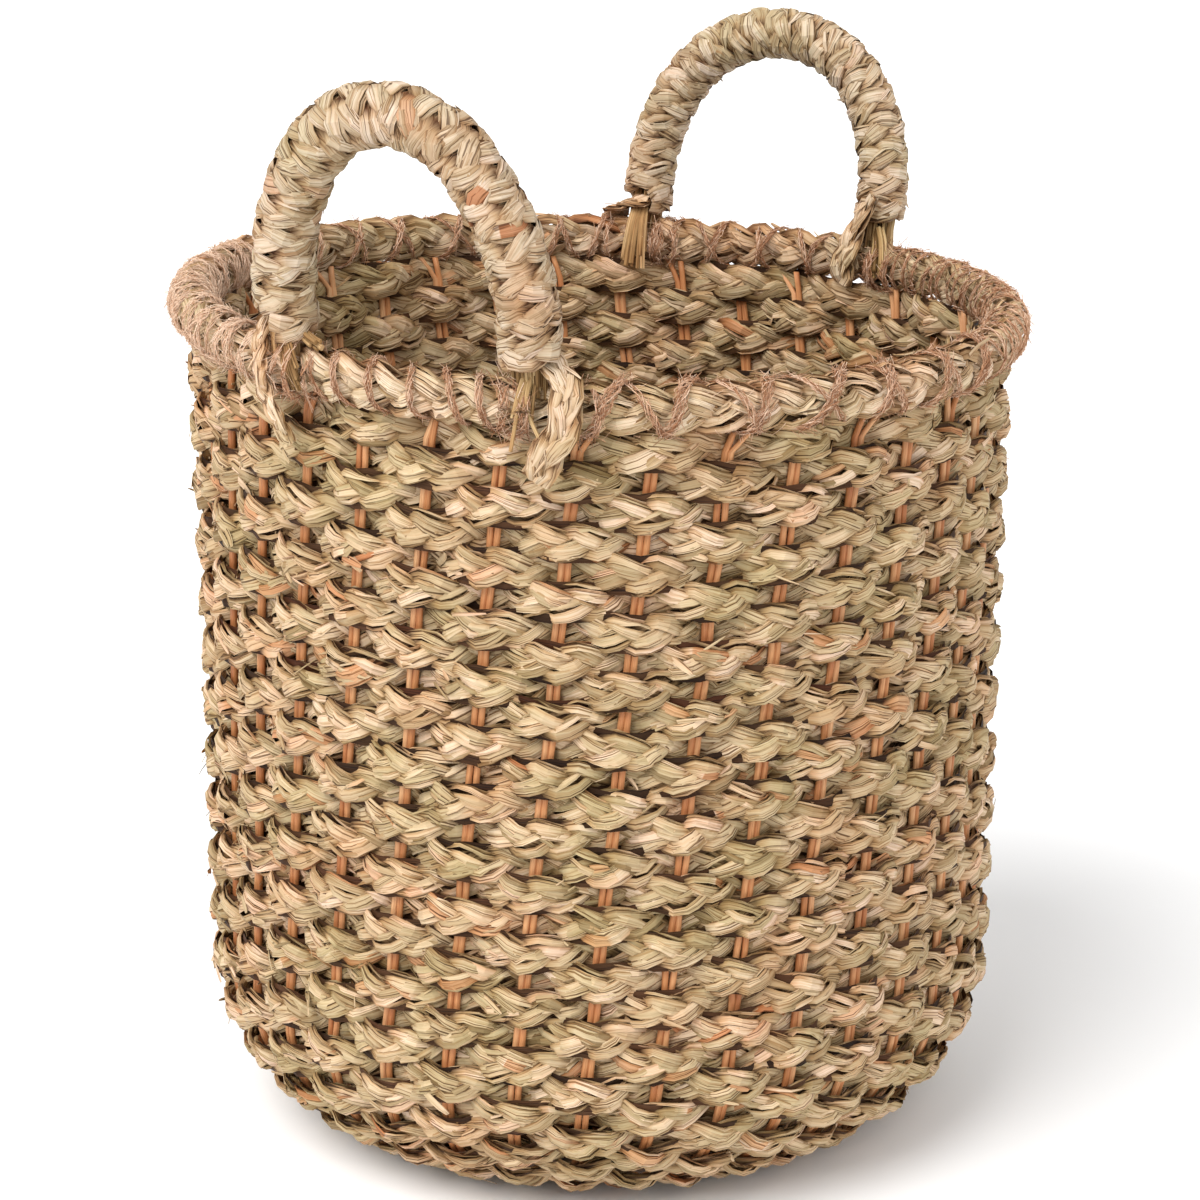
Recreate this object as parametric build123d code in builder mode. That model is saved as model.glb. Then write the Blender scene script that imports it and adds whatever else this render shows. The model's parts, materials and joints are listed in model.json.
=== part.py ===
from build123d import *
import math
import os

# A round storage basket of plaited seagrass, woven in closed courses over pairs of rattan
# canes. The origin is the middle of the base, on the surface that the basket stands on. +Z is
# up, and the two handles stand over the -Y side (front) and the +Y side (back). Millimetres.

# Overall
BASKET_HEIGHT = 352.0

# Seagrass plait, the band that every course is woven from
PLAIT_THICKNESS = 5.5
PLAIT_WIDTH = 11.3
PLAIT_CHAMFER = 1.4
WEAVE_CLEARANCE = 0.7
CLEARANCE = 0.45

# Rattan canes, in pairs
CANE_DIAMETER = 3.0
CANE_SPACING = 3.4
STAKE_COUNT = 36
STAKE_PHASE = 5.0
STAKE_SWING = 9.0
SPOKE_COUNT = 12
SPOKE_INNER_RADIUS = 16.0
SPOKE_OUTER_RADIUS = 92.0

# Shape of the woven shell, measured at the middle of its canes
SHELL_RADIUS = 160.0
CORNER_RADIUS = 65.0
STAKE_TAIL_RADIUS = 84.0
CORNER_COURSES = 9
BASE_COURSES = 7
WALL_COURSES = 22

# Rim
RIM_CENTRE_RADIUS = 166.0
RIM_DIAMETER = 17.0
RIM_GAP = 3.0
TWINE_DIAMETER = 2.4
TWINE_CLEARANCE = 0.25
LACE_STEP = 10

# Handles, measured in the plane of the arch from the line that joins the two feet. The front
# one is taller, narrower and thicker than the back one, and stands more upright. Both sit
# slightly off the basket's middle plane.
HANDLE_ANGLE = {"front": 1.5, "back": 181.2}
HANDLE_HALF_SPAN = {"front": 51.5, "back": 56.5}
HANDLE_LEAN = {"front": 6.5, "back": 14.5}
HANDLE_RISE = {"front": 102.8, "back": 97.8}
HANDLE_SIDE_RADIUS = {"front": 93.0, "back": 82.0}
HANDLE_DIAMETER = {"front": 25.0, "back": 23.0}
HANDLE_FOOT_RISE = 17.0
HANDLE_LEG_RISE = 30.0
CORE_DIAMETER = 15.0
CORE_CLEARANCE = 0.3

# Plait tails that bind each handle foot over the rim, and the twine lashed beside them
BINDING_WIDTH = 12.0
BINDING_THICKNESS = 4.4
BINDING_START = 125.0
BINDING_LENGTH = 20.0
BINDING_FLARE = 20.0
LASHING_OFFSETS = (8.0, 10.6, 13.2)

# Worked out from the dimensions above
CANE_RADIUS = CANE_DIAMETER / 2
WEAVE_OFFSET = CANE_RADIUS + WEAVE_CLEARANCE + PLAIT_THICKNESS / 2
ENVELOPE_OFFSET = WEAVE_OFFSET + PLAIT_THICKNESS / 2
CORNER_CENTRE_RADIUS = SHELL_RADIUS - CORNER_RADIUS
CORNER_CENTRE_HEIGHT = CORNER_RADIUS + ENVELOPE_OFFSET
BASE_CANE_HEIGHT = CORNER_CENTRE_HEIGHT - CORNER_RADIUS
BASE_COURSE_HEIGHT = BASE_CANE_HEIGHT - WEAVE_OFFSET
RIM_CENTRE_HEIGHT = BASKET_HEIGHT - RIM_DIAMETER / 2
STAKE_TOP = BASKET_HEIGHT - RIM_DIAMETER - RIM_GAP
TOP_COURSE_HEIGHT = STAKE_TOP - PLAIT_WIDTH / 2
CORNER_PITCH = math.pi / 2 * CORNER_RADIUS / CORNER_COURSES
LOW_COURSE_HEIGHT = CORNER_CENTRE_HEIGHT + CORNER_PITCH / 2
WALL_PITCH = (TOP_COURSE_HEIGHT - LOW_COURSE_HEIGHT) / (WALL_COURSES - 1)
BASE_PITCH = (CORNER_CENTRE_RADIUS - PLAIT_WIDTH / 2) / BASE_COURSES
STAKE_STEP = 360.0 / STAKE_COUNT
STAKE_SLOPE = (
    SHELL_RADIUS * math.tan(math.radians(STAKE_SWING)) / (STAKE_TOP - CORNER_CENTRE_HEIGHT)
)
TWINE_LOOP_RADIUS = RIM_DIAMETER / 2 + TWINE_CLEARANCE + TWINE_DIAMETER / 2

os.makedirs("parts", exist_ok=True)


def write(builder, name):
    """Labels a finished piece and writes its STEP file."""
    builder.part.label = name
    export_step(builder.part, f"parts/{name}.step")


def radial(angle):
    """Unit vector away from the basket's axis. Angle 0 is the front, and it grows towards +X."""
    return Vector(math.sin(math.radians(angle)), -math.cos(math.radians(angle)), 0)


def tangential(angle):
    """Unit vector along the wall, towards a growing angle."""
    return Vector(math.cos(math.radians(angle)), math.sin(math.radians(angle)), 0)


def stake_drift(height):
    """How far a leaning stake has moved round the basket at a height, in degrees."""
    travel = STAKE_SLOPE * (height - CORNER_CENTRE_HEIGHT)
    return math.degrees(math.atan(travel / SHELL_RADIUS))


def stake_radius(height):
    """Distance of a leaning stake from the basket's axis at a height."""
    return math.hypot(SHELL_RADIUS, STAKE_SLOPE * (height - CORNER_CENTRE_HEIGHT))


# Angle of the first stake where the wall meets the rounded corner
STAKE_FOOT_ANGLE = STAKE_PHASE - stake_drift(TOP_COURSE_HEIGHT)


def weave_arcs(radius, first_angle, parity):
    """Closed line of tangent arcs that passes outside one stake and inside the next."""
    half = math.radians(STAKE_STEP / 2)
    half_chord = radius * math.sin(half)
    slope = 2 * math.atan(WEAVE_OFFSET / half_chord)
    crest = radius * math.cos(half) + half_chord * math.tan((slope + half) / 2)
    trough = radius * math.cos(half) - half_chord * math.tan((slope - half) / 2)
    for i in range(STAKE_COUNT):
        angle = first_angle + i * STAKE_STEP
        peak = crest if (i + parity) % 2 == 0 else trough
        ThreePointArc(
            radial(angle - STAKE_STEP / 2) * radius,
            radial(angle) * peak,
            radial(angle + STAKE_STEP / 2) * radius,
        )


# Wall: closed courses of plait, each woven in and out of the stakes
for course in range(WALL_COURSES):
    height = LOW_COURSE_HEIGHT + course * WALL_PITCH
    radius = stake_radius(height)
    first_angle = STAKE_PHASE - stake_drift(TOP_COURSE_HEIGHT) + stake_drift(height)
    with BuildPart() as wall_course:
        with BuildSketch(Plane.XY.offset(height - PLAIT_WIDTH / 2)):
            with BuildLine():
                weave_arcs(radius, first_angle, course % 2)
                offset(amount=PLAIT_THICKNESS / 2)
            make_face()
            with BuildLine():
                weave_arcs(radius, first_angle, course % 2)
                offset(amount=-PLAIT_THICKNESS / 2)
            make_face(mode=Mode.SUBTRACT)
        extrude(amount=PLAIT_WIDTH)
        ends = wall_course.faces().filter_by(Axis.Z)
        chamfer(ends.edges(), PLAIT_CHAMFER)
    write(wall_course, f"wall_course_{course + 1:02d}")

# Rounded corner: courses that turn from the wall to the base, outside the canes
for course in range(CORNER_COURSES):
    turn = 90.0 * (course + 0.5) / CORNER_COURSES
    reach = CORNER_RADIUS + WEAVE_OFFSET
    course_radius = CORNER_CENTRE_RADIUS + reach * math.cos(math.radians(turn))
    course_height = CORNER_CENTRE_HEIGHT - reach * math.sin(math.radians(turn))
    with BuildPart() as corner_course:
        with BuildSketch(Plane.XZ):
            with Locations((course_radius, course_height)):
                SlotOverall(PLAIT_WIDTH, PLAIT_THICKNESS, rotation=90.0 - turn)
        revolve(axis=Axis.Z)
    write(corner_course, f"corner_course_{CORNER_COURSES - course:02d}")

# Base: flat rings of plait under the canes, round a small centre
for course in range(BASE_COURSES):
    ring_radius = (course + 1) * BASE_PITCH
    with BuildPart() as base_course:
        with BuildSketch(Plane.XZ):
            with Locations((ring_radius, BASE_COURSE_HEIGHT)):
                SlotOverall(PLAIT_WIDTH, PLAIT_THICKNESS)
        revolve(axis=Axis.Z)
    write(base_course, f"base_course_{course + 1:02d}")

with BuildPart() as base_centre:
    with BuildSketch(Plane.XY.offset(BASE_COURSE_HEIGHT - PLAIT_THICKNESS / 2)):
        Circle(BASE_PITCH - PLAIT_WIDTH / 2 - CLEARANCE)
    extrude(amount=PLAIT_THICKNESS)
write(base_centre, "base_centre_knot")

# Stakes: each cane runs straight up the wall with a slight lean, and its foot turns in
# under the basket
with BuildPart() as side_stakes:
    for i in range(STAKE_COUNT):
        angle = STAKE_FOOT_ANGLE + i * STAKE_STEP
        outward = radial(angle)
        upward = (Vector(0, 0, 1) + tangential(angle) * STAKE_SLOPE).normalized()
        for side in (-1, 1):
            bend = outward * SHELL_RADIUS + tangential(angle) * (side * CANE_SPACING / 2)
            bend = bend + Vector(0, 0, CORNER_CENTRE_HEIGHT)
            top = bend + upward * ((STAKE_TOP - CORNER_CENTRE_HEIGHT) / upward.Z)
            centre = bend - outward * CORNER_RADIUS
            middle = centre + (outward - upward) * (CORNER_RADIUS / math.sqrt(2))
            low = centre - upward * CORNER_RADIUS
            tail = low - outward * (CORNER_CENTRE_RADIUS - STAKE_TAIL_RADIUS)
            with BuildLine() as route:
                Line(top, bend)
                ThreePointArc(bend, middle, low)
                Line(low, tail)
            with BuildSketch(Plane(origin=top, z_dir=-upward)):
                Circle(CANE_RADIUS)
            sweep(path=route.line)
write(side_stakes, "side_stakes")

# Base spokes: straight pairs of canes between the feet of the stakes
with BuildPart() as base_spokes:
    for i in range(SPOKE_COUNT):
        gap = STAKE_FOOT_ANGLE + (i * STAKE_COUNT / SPOKE_COUNT + 0.5) * STAKE_STEP
        skew = math.degrees(math.atan(STAKE_SLOPE * CORNER_RADIUS / SPOKE_OUTER_RADIUS))
        angle = gap - skew
        for side in (-1, 1):
            start = radial(angle) * SPOKE_INNER_RADIUS + Vector(0, 0, BASE_CANE_HEIGHT)
            start = start + tangential(angle) * (side * CANE_SPACING / 2)
            with BuildSketch(Plane(origin=start, z_dir=radial(angle))):
                Circle(CANE_RADIUS)
            extrude(amount=SPOKE_OUTER_RADIUS - SPOKE_INNER_RADIUS)
write(base_spokes, "base_spokes")

# Rim: a thick round braid over the top of the stakes
with BuildPart() as rim_braid:
    with BuildSketch(Plane.XZ):
        with Locations((RIM_CENTRE_RADIUS, RIM_CENTRE_HEIGHT)):
            Circle(RIM_DIAMETER / 2)
    revolve(axis=Axis.Z)
write(rim_braid, "rim_braid")


def twine_turn(angle, shift=0.0):
    """One turn of twine round the rim braid, shifted along the rim by a distance."""
    place = angle + math.degrees(shift / RIM_CENTRE_RADIUS)
    middle = radial(place) * RIM_CENTRE_RADIUS + Vector(0, 0, RIM_CENTRE_HEIGHT)
    with Locations(Plane(origin=middle, x_dir=radial(place), z_dir=tangential(place))):
        Torus(TWINE_LOOP_RADIUS, TWINE_DIAMETER / 2)


def foot_angle(side, turn):
    """Angle of a handle's foot round the rim. turn is 1 for the foot at the greater angle."""
    spread = math.degrees(math.asin(HANDLE_HALF_SPAN[side] / RIM_CENTRE_RADIUS))
    return HANDLE_ANGLE[side] + turn * spread


# Rim lacing: turns of twine round the rim, left out where the handle feet stand
FOOT_ANGLES = {
    "front_right": foot_angle("front", 1),
    "back_right": foot_angle("back", -1),
    "back_left": foot_angle("back", 1),
    "front_left": foot_angle("front", -1) + 360.0,
}
with BuildPart() as rim_lacing:
    for angle in range(0, 360, LACE_STEP):
        if all(abs(angle - foot) > LACE_STEP / 2 for foot in FOOT_ANGLES.values()):
            twine_turn(angle)
write(rim_lacing, "rim_twine_lacing")


def handle_plane(side):
    """Plane of a handle's arch: X joins its feet, Y runs up the arch with its outward lean."""
    angle = HANDLE_ANGLE[side]
    lean = math.radians(HANDLE_LEAN[side])
    reach = math.sqrt(RIM_CENTRE_RADIUS**2 - HANDLE_HALF_SPAN[side] ** 2)
    up = Vector(0, 0, math.cos(lean)) + radial(angle) * math.sin(lean)
    return Plane(
        origin=radial(angle) * reach + Vector(0, 0, RIM_CENTRE_HEIGHT),
        x_dir=tangential(angle),
        z_dir=tangential(angle).cross(up),
    )


def arch_line(side):
    """Centre line of a handle, from one foot over the crown to the other foot."""
    half_span = HANDLE_HALF_SPAN[side]
    side_radius = HANDLE_SIDE_RADIUS[side]
    side_run = side_radius - half_span
    side_rise = HANDLE_RISE[side] - HANDLE_LEG_RISE
    crown_radius = (side_run**2 + side_rise**2 - side_radius**2) / (2 * (side_rise - side_radius))
    side_turn = math.degrees(math.atan2(side_rise - crown_radius, side_run))
    leg = Line((-half_span, HANDLE_FOOT_RISE), (-half_span, HANDLE_LEG_RISE))
    rise = JernArc(leg @ 1, leg % 1, side_radius, -side_turn)
    crown = JernArc(rise @ 1, rise % 1, crown_radius, 2 * side_turn - 180)
    fall = JernArc(crown @ 1, crown % 1, side_radius, -side_turn)
    Line(fall @ 1, (half_span, HANDLE_FOOT_RISE))


# Handles: a bundle of grass bent into an arch, with a sleeve of plait wound round it
for side in HANDLE_ANGLE:
    plane = handle_plane(side)
    foot = plane.from_local_coords(Vector(-HANDLE_HALF_SPAN[side], HANDLE_FOOT_RISE, 0))
    foot_plane = Plane(origin=foot, x_dir=plane.x_dir, z_dir=plane.y_dir)

    with BuildPart() as handle_core:
        with BuildLine(plane) as arch:
            arch_line(side)
        with BuildSketch(foot_plane):
            Circle(CORE_DIAMETER / 2)
        sweep(path=arch.line)
    write(handle_core, f"{side}_handle_grass_core")

    with BuildPart() as handle_wrap:
        with BuildLine(plane) as arch:
            arch_line(side)
        with BuildSketch(foot_plane):
            Circle(HANDLE_DIAMETER[side] / 2)
            Circle(CORE_DIAMETER / 2 + CORE_CLEARANCE, mode=Mode.SUBTRACT)
        sweep(path=arch.line)
    write(handle_wrap, f"{side}_handle_plait_wrap")

# Foot bindings: each handle's plait ends in a tail that is drawn over the rim. Three lie
# outside the rim, and the one at the back right lies inside it.
binding_reach = RIM_DIAMETER / 2 + CLEARANCE + BINDING_THICKNESS / 2
for name, angle in FOOT_ANGLES.items():
    inward = name == "back_right"
    facing = radial(angle) * (-1 if inward else 1)
    middle = radial(angle) * RIM_CENTRE_RADIUS + Vector(0, 0, RIM_CENTRE_HEIGHT)
    tail_turn = BINDING_FLARE if inward else 0.0
    arc_plane = Plane(origin=middle, x_dir=facing, z_dir=facing.cross(Vector(0, 0, 1)))
    with BuildPart() as binding:
        with BuildLine(arc_plane) as route:
            over = CenterArc((0, 0), binding_reach, BINDING_START, tail_turn - BINDING_START)
            Line(over @ 1, (over @ 1) + (over % 1) * BINDING_LENGTH)
        with BuildSketch(Plane(origin=over @ 0, x_dir=arc_plane.z_dir, z_dir=over % 0)):
            Rectangle(BINDING_WIDTH, BINDING_THICKNESS)
        sweep(path=route.line)
    write(binding, f"{name}_foot_binding")

    with BuildPart() as lashing:
        for offset_along in LASHING_OFFSETS:
            twine_turn(angle, offset_along)
            twine_turn(angle, -offset_along)
    write(lashing, f"{name}_foot_lashing")
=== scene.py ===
import json
import math

import bpy
import numpy as np
from mathutils import Euler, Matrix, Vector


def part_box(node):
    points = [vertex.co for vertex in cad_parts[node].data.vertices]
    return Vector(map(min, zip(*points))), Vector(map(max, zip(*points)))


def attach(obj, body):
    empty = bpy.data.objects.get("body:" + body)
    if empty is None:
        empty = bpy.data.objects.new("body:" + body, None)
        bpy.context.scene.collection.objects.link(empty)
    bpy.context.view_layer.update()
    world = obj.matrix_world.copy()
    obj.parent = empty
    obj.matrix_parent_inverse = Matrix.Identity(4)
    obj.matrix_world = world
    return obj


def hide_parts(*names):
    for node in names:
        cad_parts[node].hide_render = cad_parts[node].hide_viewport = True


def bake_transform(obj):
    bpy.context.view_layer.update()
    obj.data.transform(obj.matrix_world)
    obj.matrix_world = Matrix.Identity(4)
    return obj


# A round storage basket of plaited seagrass on pairs of rattan canes. The frame gives every
# course, rim, handle and binding its place. Here each of them is made again from separate
# leaves of grass, canes and twine. Metres, +Z up, angle 0 is the front (-Y) and grows to +X.

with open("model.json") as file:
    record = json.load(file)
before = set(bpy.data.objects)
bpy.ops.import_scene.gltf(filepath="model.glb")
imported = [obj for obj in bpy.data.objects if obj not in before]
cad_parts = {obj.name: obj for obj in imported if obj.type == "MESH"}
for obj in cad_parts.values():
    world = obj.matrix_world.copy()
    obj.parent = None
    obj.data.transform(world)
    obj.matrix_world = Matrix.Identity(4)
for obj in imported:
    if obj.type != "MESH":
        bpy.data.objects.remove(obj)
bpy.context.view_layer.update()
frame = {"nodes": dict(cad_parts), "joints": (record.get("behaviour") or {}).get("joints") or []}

MM = 0.001
TURN = 2 * math.pi

# The woven shell and the handles, as the frame has them
STAKE_COUNT = 36
SPOKE_COUNT = 12
CORNER_COURSES = 9
SHELL_RADIUS = 160 * MM
CORNER_RADIUS = 65 * MM
WEAVE_OFFSET = 4.95 * MM
WEAVE_SWING = 4.3 * MM
STAKE_PHASE = math.radians(5.0)
STAKE_SWING = math.radians(9.0)
SPOKE_START = 16 * MM
SPOKE_END = 92 * MM
STAKE_START = 84 * MM
HANDLE_LEAN = {"front": math.radians(6.5), "back": math.radians(14.5)}
HANDLE_SIDE_RADIUS = {"front": 93 * MM, "back": 82 * MM}
HANDLE_LEG_RISE = 30 * MM
CORE_RADIUS = 7.5 * MM

# Samples along one full period of a plait's strands, and the share of the folds across a leaf
# that are sharp
SAMPLES = 12
FOLD_SHARE = 0.8
# How far the next strip's fibres are shifted along it, and the bare borders of a strip's rows in
# the bake map, as shares of a row and of the map
FIBRE_SHIFT = 0.37
BAKE_EDGE = 0.06
BAKE_END = 0.002
# The lowest that anything lies above the floor
FLOOR_GAP = 0.1 * MM


def box_centre(node):
    low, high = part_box(node)
    return (low + high) / 2


rim_low, rim_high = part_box("rim_braid")
RIM_RADIUS = (rim_high.z - rim_low.z) / 2
RIM_HEIGHT = (rim_high.z + rim_low.z) / 2
RIM_REACH = rim_high.x - RIM_RADIUS
STAKE_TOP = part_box("side_stakes")[1].z
TOP_HEIGHT = box_centre("wall_course_22").z
BASE_HEIGHT = box_centre("base_course_01").z
CANE_HEIGHT = BASE_HEIGHT + WEAVE_OFFSET
BEND_HEIGHT = CANE_HEIGHT + CORNER_RADIUS
BEND_REACH = SHELL_RADIUS - CORNER_RADIUS
STAKE_SLOPE = SHELL_RADIUS * math.tan(STAKE_SWING) / (STAKE_TOP - BEND_HEIGHT)
STAKE_STEP = TURN / STAKE_COUNT


def radial(angle):
    """Unit vectors away from the basket's axis, one for each angle."""
    return np.stack([np.sin(angle), -np.cos(angle), np.zeros_like(angle)], -1)


def unit(vectors):
    return vectors / np.linalg.norm(vectors, axis=-1, keepdims=True)


def tangential(angle):
    """Unit vectors along the wall, towards a growing angle."""
    return np.stack([np.cos(angle), np.sin(angle), np.zeros_like(angle)], -1)


def stake_drift(height):
    """How far the leaning stakes have moved round the basket at a height."""
    return math.atan(STAKE_SLOPE * (height - BEND_HEIGHT) / SHELL_RADIUS)


FOOT_ANGLE = STAKE_PHASE - stake_drift(TOP_HEIGHT)
UP = np.array([0.0, 0.0, 1.0])

# The rim isn't level: it rises at one end, and a little at the other end less
WARP_ANGLE = math.radians(-62.0)
WARP_TILT = 5.3 * MM
WARP_BEND = 2.0 * MM
WARP_START = 0.19
WARP_FULL = 0.34


def settle(points):
    """Lifts and lowers the rim's ends, and keeps everything above the floor."""
    angle = np.arctan2(points[..., 0], -points[..., 1]) - WARP_ANGLE
    share = np.clip((points[..., 2] - WARP_START) / (WARP_FULL - WARP_START), 0, 1)
    share = share * share * (3 - 2 * share)
    lift = WARP_TILT * np.cos(angle) + WARP_BEND * np.cos(2 * angle)
    moved = points.copy()
    moved[..., 2] = np.maximum(moved[..., 2] + share * lift, FLOOR_GAP)
    return moved


def ripple(rng, rows, turns, waves, terms=4):
    """Smooth random ripples of size about 1, one row for each leaf, that join up at the ends."""
    waves = max(3, int(waves))
    frequency = rng.integers(max(1, waves // 4), waves + 1, (rows, terms, 1))
    phase = rng.uniform(0, TURN, (rows, terms, 1))
    return np.sin(TURN * frequency * turns + phase).sum(1) / math.sqrt(terms / 2)


class Weave:
    """Gathers long strips, such as leaves of grass, into one mesh."""

    def __init__(self):
        self.batches = []

    def add(self, rings, along, tone, depth, closed=False, rows=1):
        """rings is strips x rings x corners x 3, along the distance of each ring, tone and
        depth one value for each ring or corner; depth is how far painted shade darkens a
        place. rows is how many rows of the bake map a strip takes."""
        strips, count, corners = rings.shape[:3]
        tone = np.broadcast_to(np.asarray(tone, float).reshape(strips, -1, 1), rings.shape[:3])
        depth = np.broadcast_to(depth, rings.shape[:3])
        along = np.broadcast_to(along, (strips, count))
        self.batches.append((rings, along, tone, depth, closed, rows))

    def mesh(self, name, crisp):
        """The finished mesh. Crisp strips keep a sharp edge along each corner."""
        vertices, tones, painted_shades, loops, sizes, fibre_uv, bake_uv, corner_of = ([] for _ in range(8))
        base = 0
        all_rows = sum(b[0].shape[0] * b[5] for b in self.batches)
        row = 0
        for rings, along, tone, depth, closed, rows in self.batches:
            strips, count, corners = rings.shape[:3]
            spans = count if closed else count - 1
            s, i, j = np.meshgrid(np.arange(strips), np.arange(spans), np.arange(corners), indexing="ij")
            i_next = (i + 1) % count
            j_next = (j + 1) % corners

            def index(ring, corner):
                return base + (s * count + ring) * corners + corner

            quads = np.stack([index(i, j), index(i, j_next), index(i_next, j_next), index(i_next, j)], -1)
            step = np.linalg.norm(np.diff(rings[:, :, 0], axis=1), axis=-1).mean()
            side = np.linalg.norm(rings[:, :, 1] - rings[:, :, 0], axis=-1).mean()
            start = along[s, i]
            end = np.where(i + 1 < count, along[s, i_next], along[s, i] + step)
            start = start + s * FIBRE_SHIFT
            end = end + s * FIBRE_SHIFT
            u = np.stack([start, start, end, end], -1)
            v = np.stack([j, j + 1, j + 1, j], -1) * side
            fibre = np.stack([u, v], -1) / MM
            per_row = -(-spans // rows)
            x = (i % per_row) / per_row
            x = np.stack([x, x, x + 1 / per_row, x + 1 / per_row], -1)
            y = row + s * rows + i // per_row
            y = [y + BAKE_EDGE + (1 - 2 * BAKE_EDGE) * (j + k) / corners for k in (0, 1, 1, 0)]
            bake = np.stack([BAKE_END + (1 - 2 * BAKE_END) * x, np.stack(y, -1) / all_rows], -1)
            loops.append(quads.ravel())
            sizes.append(np.full(quads.size // 4, 4))
            fibre_uv.append(fibre.reshape(-1, 2))
            bake_uv.append(bake.reshape(-1, 2))
            if not closed:
                strip = np.arange(strips)
                for ring, order in ((0, range(corners - 1, -1, -1)), (count - 1, range(corners))):
                    caps = np.stack([base + (strip * count + ring) * corners + c for c in order], -1)
                    loops.append(caps.ravel())
                    sizes.append(np.full(strips, corners))
                    fibre_uv.append(np.repeat(fibre[:, min(ring, spans - 1), 0, 0], corners, 0))
                    bake_uv.append(np.repeat(bake[:, min(ring, spans - 1), 0, 0], corners, 0))
            vertices.append(rings.reshape(-1, 3))
            tones.append(tone.ravel())
            painted_shades.append(depth.ravel())
            corner_of.append(np.tile(np.arange(corners), strips * count))
            base += rings.size // 3
            row += strips * rows
        vertices = settle(np.concatenate(vertices))
        loops = np.concatenate(loops)
        sizes = np.concatenate(sizes)
        mesh = bpy.data.meshes.new(name)
        mesh.vertices.add(len(vertices))
        mesh.vertices.foreach_set("co", vertices.astype(np.float32).ravel())
        mesh.loops.add(len(loops))
        mesh.loops.foreach_set("vertex_index", loops.astype(np.int32))
        mesh.polygons.add(len(sizes))
        starts = np.concatenate([[0], np.cumsum(sizes)[:-1]])
        mesh.polygons.foreach_set("loop_start", starts.astype(np.int32))
        for layer, values in (("fibre", fibre_uv), ("OFBake", bake_uv)):
            uv = mesh.uv_layers.new(name=layer)
            uv.uv.foreach_set("vector", np.concatenate(values).astype(np.float32).ravel())
        mesh.update(calc_edges=True)
        for layer, values in (("tone", tones), ("depth", painted_shades)):
            attribute = mesh.attributes.new(layer, "FLOAT", "POINT")
            attribute.data.foreach_set("value", np.concatenate(values).astype(np.float32))
        if crisp:
            corner_of = np.concatenate(corner_of)
            ends = np.zeros(len(mesh.edges) * 2, np.int32)
            mesh.edges.foreach_get("vertices", ends)
            ends = ends.reshape(-1, 2)
            sharp = mesh.attributes.new("sharp_edge", "BOOLEAN", "EDGE")
            along_strip = corner_of[ends[:, 0]] == corner_of[ends[:, 1]]
            fold = np.random.default_rng(len(mesh.edges)).random(len(mesh.edges)) < FOLD_SHARE
            sharp.data.foreach_set("value", along_strip | fold)
        mesh.validate()
        return mesh


def placed(name, data):
    """A new object in the scene."""
    made = bpy.data.objects.new(name, data)
    bpy.context.scene.collection.objects.link(made)
    return made


def piece(name, weave, material, slot, body, *nodes, crisp=True):
    """Makes one piece that rides on a body and stands for the frame's nodes."""
    mesh = weave.mesh(name, crisp)
    mesh.materials.append(material)
    made = placed(name, mesh)
    if body:
        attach(made, body)
    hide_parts(*nodes)
    return made


# Materials


def srgb(red, green, blue):
    """A colour given as 0 to 255 sRGB values, as linear values with alpha."""
    linear = [((c / 255 + 0.055) / 1.055) ** 2.4 if c > 10 else c / 255 / 12.92 for c in (red, green, blue)]
    return (*linear, 1.0)


WHITE = (255, 255, 255)


class Nodes:
    """A short way to write a material's node tree."""

    def __init__(self, name):
        self.material = bpy.data.materials.new(name)
        self.material.use_nodes = True
        self.tree = self.material.node_tree
        self.tree.nodes.clear()
        self.shader = self.add("BsdfPrincipled")
        output = self.add("OutputMaterial")
        self.link(self.shader.outputs["BSDF"], output.inputs["Surface"])
        self.fibre = self.add("UVMap", uv_map="fibre").outputs["UV"]

    def add(self, kind, inputs=(), **values):
        """A new node, with the values of its inputs by name and its other settings."""
        made = self.tree.nodes.new("ShaderNode" + kind)
        for key, value in values.items():
            setattr(made, key, value)
        for key, value in dict(inputs).items():
            made.inputs[key].default_value = value
        return made

    def link(self, source, target):
        self.tree.links.new(source, target)

    def attribute(self, name):
        return self.add("Attribute", attribute_name=name).outputs["Fac"]

    def noise(self, source, scale, detail=3.0, roughness=0.6):
        """Noise over a coordinate that is stretched by scale, three numbers."""
        mapping = self.add("Mapping", {"Scale": scale})
        self.link(source, mapping.inputs["Vector"])
        noise = self.add("TexNoise", {"Scale": 1.0, "Detail": detail, "Roughness": roughness})
        self.link(mapping.outputs["Vector"], noise.inputs["Vector"])
        return noise.outputs["Fac"]

    def ramp(self, source, stops):
        """A colour ramp. Each stop is a place and a colour in 0 to 255 sRGB values."""
        ramp = self.add("ValToRGB")
        elements = ramp.color_ramp.elements
        while len(elements) < len(stops):
            elements.new(0.5)
        for element, (place, colour) in zip(elements, stops):
            element.position = place
            element.color = srgb(*colour)
        self.link(source, ramp.inputs["Fac"])
        return ramp.outputs["Color"]

    def multiply(self, factor, first, second):
        """The first colour darkened by the second, by a share of factor."""
        mix = self.add("Mix", data_type="RGBA", blend_type="MULTIPLY")
        mix.inputs[0].default_value = factor
        self.link(first, mix.inputs[6])
        self.link(second, mix.inputs[7])
        return mix.outputs[2]

    def rough(self, source, most, least):
        """Roughness that falls from most to least as the source rises from 0.3 to 0.7."""
        fall = self.add("MapRange", {"From Min": 0.3, "From Max": 0.7, "To Min": most, "To Max": least})
        self.link(source, fall.inputs["Value"])
        self.link(fall.outputs["Result"], self.shader.inputs["Roughness"])

    def bump(self, source, strength, distance):
        """Bumps of the source's height on the surface. The distance is in metres."""
        bump = self.add("Bump", {"Strength": strength, "Distance": distance})
        self.link(source, bump.inputs["Height"])
        self.link(bump.outputs["Normal"], self.shader.inputs["Normal"])


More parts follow.
